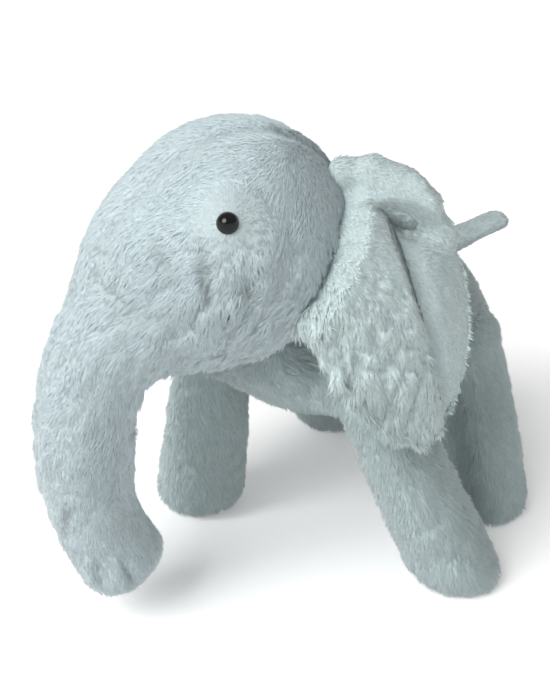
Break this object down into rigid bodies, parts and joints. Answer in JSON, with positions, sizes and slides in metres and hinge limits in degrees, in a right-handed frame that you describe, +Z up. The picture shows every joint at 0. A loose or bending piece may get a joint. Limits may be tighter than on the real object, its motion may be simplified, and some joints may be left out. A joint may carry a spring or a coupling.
{
  "type": "stuffed elephant",
  "caption": "Standing plush elephant with a long trunk, large hanging ears, soft-sewn swinging legs, a tab tail and domed safety eyes.",
  "frame": {"origin": "on the floor, under the middle of the toy's bounding box", "axes": "+Z up, the torso faces -Y and the toy's left side is +X"},
  "size_m": [0.3247, 0.4974, 0.3687],
  "materials": {
    "plush_pile": "soft long-pile plush, pale grey with a green-blue cast",
    "plush_ear": "shorter silky plush, combed across the ear",
    "plush_sole": "plush pressed flat under the foot",
    "fibrefill": "white polyester fibrefill",
    "eye_plastic": "polished black",
    "washer_plastic": "plain moulded white"
  },
  "bodies": {
    "torso": {"torso_panel_left": "plush_pile", "torso_panel_right": "plush_pile", "belly_panel": "plush_pile", "torso_stuffing": "fibrefill"},
    "head": {"head_panel_left": "plush_pile", "head_panel_right": "plush_pile", "head_gusset": "plush_pile", "chin_panel": "plush_pile", "head_stuffing": "fibrefill", "eye_left": "eye_plastic", "eye_right": "eye_plastic", "eye_washer_left": "washer_plastic", "eye_washer_right": "washer_plastic"},
    "trunk": {"trunk_panel_left": "plush_pile", "trunk_panel_right": "plush_pile", "trunk_stuffing": "fibrefill"},
    "trunk_tip": {"trunk_tip_panel_left": "plush_pile", "trunk_tip_panel_right": "plush_pile", "trunk_tip_stuffing": "fibrefill"},
    "ear_left": {"ear_left_front": "plush_ear", "ear_left_back": "plush_pile"},
    "ear_right": {"ear_right_front": "plush_ear", "ear_right_back": "plush_pile"},
    "tail": {"tail_panel_top": "plush_pile", "tail_panel_bottom": "plush_pile", "tail_stuffing": "fibrefill"},
    "leg_front_left": {"leg_front_left_outer_panel": "plush_pile", "leg_front_left_inner_panel": "plush_pile", "leg_front_left_sole": "plush_sole", "leg_front_left_stuffing": "fibrefill"},
    "leg_front_right": {"leg_front_right_outer_panel": "plush_pile", "leg_front_right_inner_panel": "plush_pile", "leg_front_right_sole": "plush_sole", "leg_front_right_stuffing": "fibrefill"},
    "leg_hind_left": {"leg_hind_left_outer_panel": "plush_pile", "leg_hind_left_inner_panel": "plush_pile", "leg_hind_left_sole": "plush_sole", "leg_hind_left_stuffing": "fibrefill"},
    "leg_hind_right": {"leg_hind_right_outer_panel": "plush_pile", "leg_hind_right_inner_panel": "plush_pile", "leg_hind_right_sole": "plush_sole", "leg_hind_right_stuffing": "fibrefill"}
  },
  "joints": [
    {"name": "head_turn", "type": "hinge", "parent": "torso", "child": "head", "pos_m": [-0.0038, -0.1173, 0.284], "axis": [0, 0, 1], "range_deg": [-8, 10], "stiffness_Nm_per_rad": 3},
    {"name": "trunk_lift", "type": "hinge", "parent": "head", "child": "trunk", "pos_m": [-0.04089, -0.17666, 0.24599], "axis": [0.848, -0.5299, 0], "range_deg": [-10, 10], "stiffness_Nm_per_rad": 1.5},
    {"name": "trunk_curl", "type": "hinge", "parent": "trunk", "child": "trunk_tip", "pos_m": [-0.06476, -0.21486, 0.14131], "axis": [0.848, -0.5299, 0], "range_deg": [-14, 10], "stiffness_Nm_per_rad": 0.5},
    {"name": "ear_left_flap", "type": "hinge", "parent": "head", "child": "ear_left", "pos_m": [0.07132, -0.13868, 0.2398], "axis": [-0.1504, 0.6173, 0.7722], "range_deg": [-20, 4], "stiffness_Nm_per_rad": 0.4},
    {"name": "ear_right_flap", "type": "hinge", "parent": "head", "child": "ear_right", "pos_m": [-0.05594, -0.05916, 0.2398], "axis": [0.6208, 0.1355, 0.7722], "range_deg": [-2, 16], "stiffness_Nm_per_rad": 0.4},
    {"name": "tail_wag", "type": "hinge", "parent": "torso", "child": "tail", "pos_m": [-0.0038, 0.17247, 0.18584], "axis": [-0.065, -0.161, 0.9848], "range_deg": [-20, 20], "stiffness_Nm_per_rad": 0.1},
    {"name": "leg_front_left_swing", "type": "hinge", "parent": "torso", "child": "leg_front_left", "pos_m": [0.0712, -0.0473, 0.15], "axis": [1, 0, 0], "range_deg": [-12, 8], "stiffness_Nm_per_rad": 6},
    {"name": "leg_front_right_swing", "type": "hinge", "parent": "torso", "child": "leg_front_right", "pos_m": [-0.0788, -0.0473, 0.15], "axis": [1, 0, 0], "range_deg": [-12, 8], "stiffness_Nm_per_rad": 6},
    {"name": "leg_hind_left_swing", "type": "hinge", "parent": "torso", "child": "leg_hind_left", "pos_m": [0.0712, 0.1007, 0.136], "axis": [1, 0, 0], "range_deg": [-8, 12], "stiffness_Nm_per_rad": 6},
    {"name": "leg_hind_right_swing", "type": "hinge", "parent": "torso", "child": "leg_hind_right", "pos_m": [-0.0788, 0.1007, 0.136], "axis": [1, 0, 0], "range_deg": [-8, 12], "stiffness_Nm_per_rad": 6}
  ]
}
